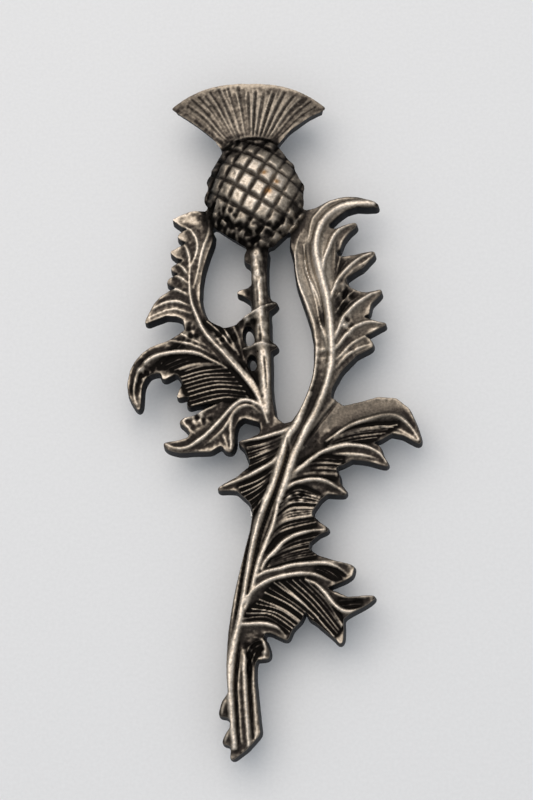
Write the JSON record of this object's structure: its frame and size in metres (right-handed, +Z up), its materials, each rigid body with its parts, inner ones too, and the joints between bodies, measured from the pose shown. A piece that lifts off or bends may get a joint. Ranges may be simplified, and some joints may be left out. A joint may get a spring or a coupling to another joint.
{
  "type": "thistle kilt pin",
  "caption": "Long cast pewter kilt pin shaped as a thistle with a scaled bulb, fanned plume and pierced spiny leaves, with a plain pin back.",
  "frame": {"origin": "on the surface the pin lies on, under the middle of its outline's box", "axes": "+Z up out of the decorated face, +Y along the pin towards the plume, +X to the right seen from the front"},
  "size_m": [0.0424, 0.1, 0.0106],
  "materials": {
    "antique_pewter": "antiqued cast pewter, dark in the recesses and polished on the crests",
    "pin_steel": "plain satin steel"
  },
  "bodies": {
    "root": {"thistle_casting": "antique_pewter", "pin_back": "pin_steel"}
  },
  "joints": []
}
